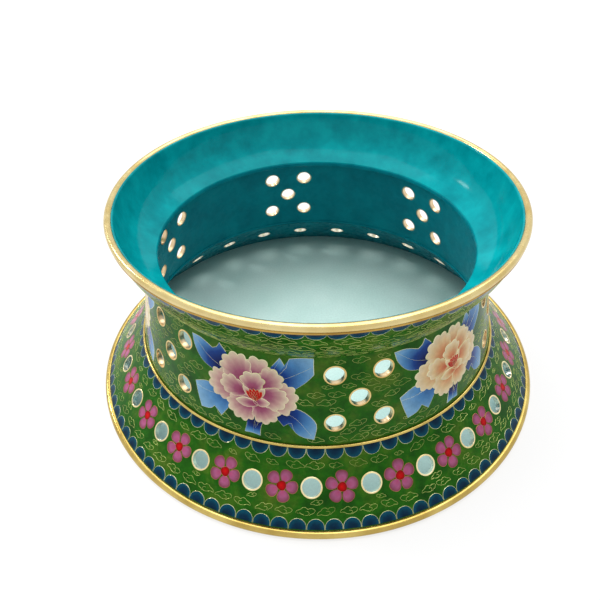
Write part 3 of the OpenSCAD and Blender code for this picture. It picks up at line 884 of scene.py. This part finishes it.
# ---- Floor plate ----
# A loose round plate of satin steel lies on the foot ring's flange and catches ash under the burner.
# It is blanked from sheet, and its edges are broken so that they don't cut.
low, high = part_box("floor_plate")
plate_r, edge_break = high.x, 0.25 * MM
plate_outline = [(0, low.z), (plate_r - edge_break, low.z), (plate_r, low.z + edge_break),
                 (plate_r, high.z - edge_break), (plate_r - edge_break, high.z), (0, high.z)]
plate = spun(plate_outline, steps=256, closed=False)
bmesh.ops.remove_doubles(plate, verts=plate.verts, dist=0.001 * MM)


def satin(name):
    """Steel sheet with a fine grain in one direction, dulled by use; its pale teal tint is painted
    reflection of the teal walls.
    """
    mat, shader = finish(name, metallic=0.12, specular=0.3)
    # Painted reflection: the teal tint of these colours stands in for light thrown on the plate by the teal
    # walls.
    patches = ramp(mat, noise(mat, scale=30, detail=4),
                   [(0.3, srgb(196, 228, 220)), (0.7, srgb(212, 238, 231))])
    grains = ramp(mat, noise(mat, scale=900, detail=2), [(0.3, 0.88), (0.7, 1.0)])
    link_to(mat, blend(mat, 0.8, patches, grains, "MULTIPLY"), shader, "Base Color")
    link_to(mat, ramp(mat, noise(mat, scale=90, detail=4), [(0.3, 0.66), (0.7, 0.76)]), shader, "Roughness")
    relief(mat, shader, noise(mat, scale=500, detail=3, stretch=(1, 0.05, 1)), 0.02 * MM)
    return mat


piece("ash_plate", plate, satin("plate_satin_painted_teal_bounce"), ["floor_plate"])


# ---- Table, surroundings and lamps ----
# The stand is photographed on a white table in white surroundings. A small window mirrors in the
# bowl, and two wide soft lights stand at the left and overhead towards the back.
def seen_directly(owner):
    """1 for a ray from the camera, from a mirror or through glass, and 0 for one that lights a surface."""
    path = add_node(owner, "ShaderNodeLightPath")
    value = path.outputs["Is Camera Ray"]
    for kind in ("Is Glossy Ray", "Is Transmission Ray"):
        either = add_node(owner, "ShaderNodeMath", operation="MAXIMUM")
        owner.node_tree.links.new(value, either.inputs[0])
        owner.node_tree.links.new(path.outputs[kind], either.inputs[1])
        value = either.outputs[0]
    return value


bpy.ops.mesh.primitive_plane_add(size=12)
floor = bpy.context.object
floor.name = "table_top"
white, shader = finish("table_white", specular=0.1)
shader.inputs["Base Color"].default_value = (0.9, 0.9, 0.9, 1)
shader.inputs["Roughness"].default_value = 0.9
share = add_node(white, "ShaderNodeMath", operation="MULTIPLY")
share.inputs[1].default_value = 0.72
paper = add_node(white, "ShaderNodeEmission")
mixed = add_node(white, "ShaderNodeMixShader")
white.node_tree.links.new(seen_directly(white), share.inputs[0])
white.node_tree.links.new(share.outputs[0], mixed.inputs["Fac"])
white.node_tree.links.new(shader.outputs[0], mixed.inputs[1])
white.node_tree.links.new(paper.outputs[0], mixed.inputs[2])
white.node_tree.links.new(mixed.outputs[0], white.node_tree.nodes["Material Output"].inputs["Surface"])
floor.data.materials.append(white)

world = bpy.data.worlds.new("studio")
world.use_nodes = True
level = add_node(world, "ShaderNodeMapRange")
level.inputs["To Min"].default_value = 0.65
level.inputs["To Max"].default_value = 1.0
backdrop = world.node_tree.nodes["Background"]
backdrop.inputs["Color"].default_value = (1, 1, 1, 1)
world.node_tree.links.new(seen_directly(world), level.inputs["Value"])
world.node_tree.links.new(level.outputs["Result"], backdrop.inputs["Strength"])
scene.world = world

lamp_aim = Vector((0, 0, 80 * MM))


def lamp(name, azimuth, elevation, distance, size, power, mirrored):
    """A square soft lamp that faces the stand; azimuth 0 is behind the camera, positive to the right."""
    light = bpy.data.lights.new(name, "AREA")
    light.size = size
    light.energy = power
    holder = bpy.data.objects.new(name, light)
    holder.visible_glossy = mirrored
    az, el = math.radians(azimuth), math.radians(elevation)
    way = Vector((math.sin(az) * math.cos(el), -math.cos(az) * math.cos(el), math.sin(el)))
    holder.location = way * distance + lamp_aim
    holder.rotation_mode = "QUATERNION"
    holder.rotation_quaternion = way.to_track_quat("Z", "Y")
    scene.collection.objects.link(holder)


lamp("window_lamp", azimuth=-118, elevation=30, distance=1.6, size=0.2, power=4, mirrored=True)
lamp("side_light", azimuth=-112, elevation=42, distance=1.6, size=1.7, power=14, mirrored=False)
lamp("sky_light", azimuth=165, elevation=76, distance=1.9, size=2.2, power=36, mirrored=True)
scene.view_settings.view_transform = "Standard"
